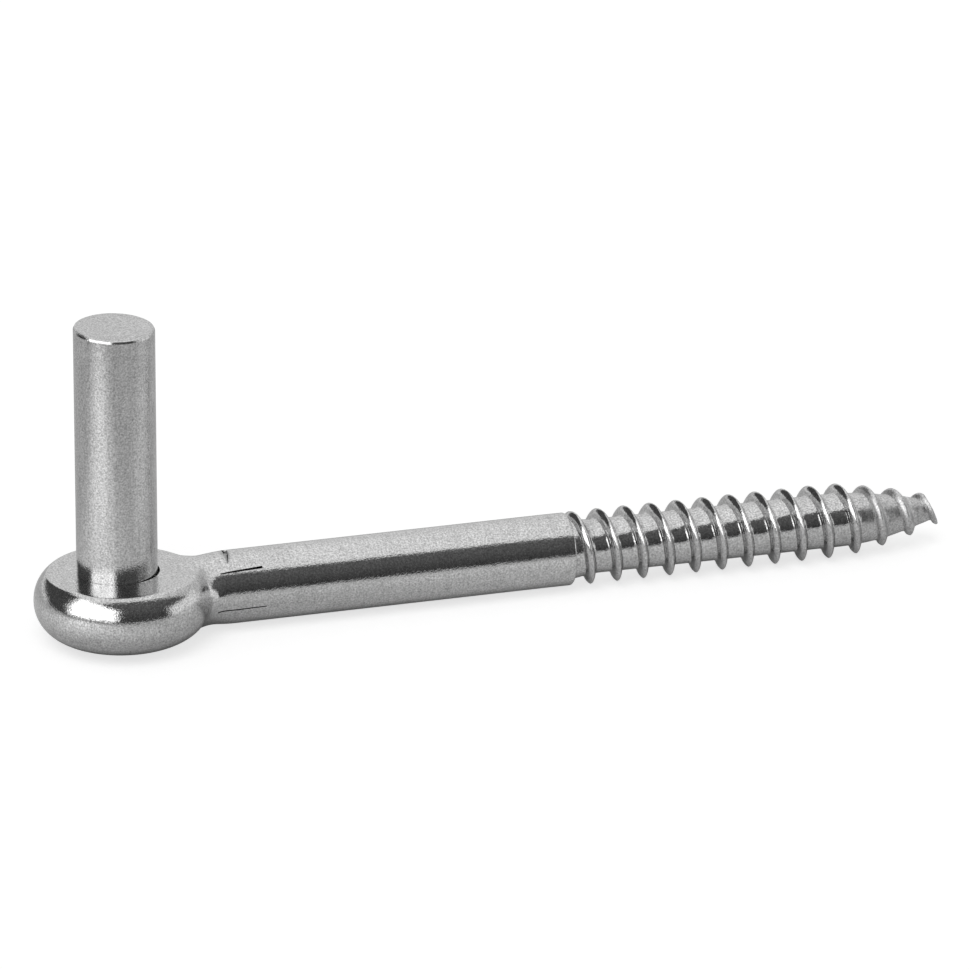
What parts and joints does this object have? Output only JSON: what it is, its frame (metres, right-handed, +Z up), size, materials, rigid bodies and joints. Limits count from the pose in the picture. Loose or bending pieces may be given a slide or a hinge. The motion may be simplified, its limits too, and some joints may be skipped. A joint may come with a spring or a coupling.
{
  "type": "screw hook",
  "caption": "Screw hook for a strap hinge: a round upright pin in a forged eye, on a plain shank that ends in a coarse lag thread with a sharp point.",
  "frame": {"origin": "where the pin's axis crosses the shank's axis, halfway through the thickness of the eye", "axes": "+Z up the pin, +X along the shank towards the point of the thread"},
  "size_m": [0.142, 0.0264, 0.0494],
  "materials": {
    "forging": "bright zinc plate over forged and rolled steel",
    "pin": "satin zinc plate over drawn steel"
  },
  "bodies": {
    "root": {"eye_screw": "forging", "pintle_pin": "pin"}
  },
  "joints": []
}
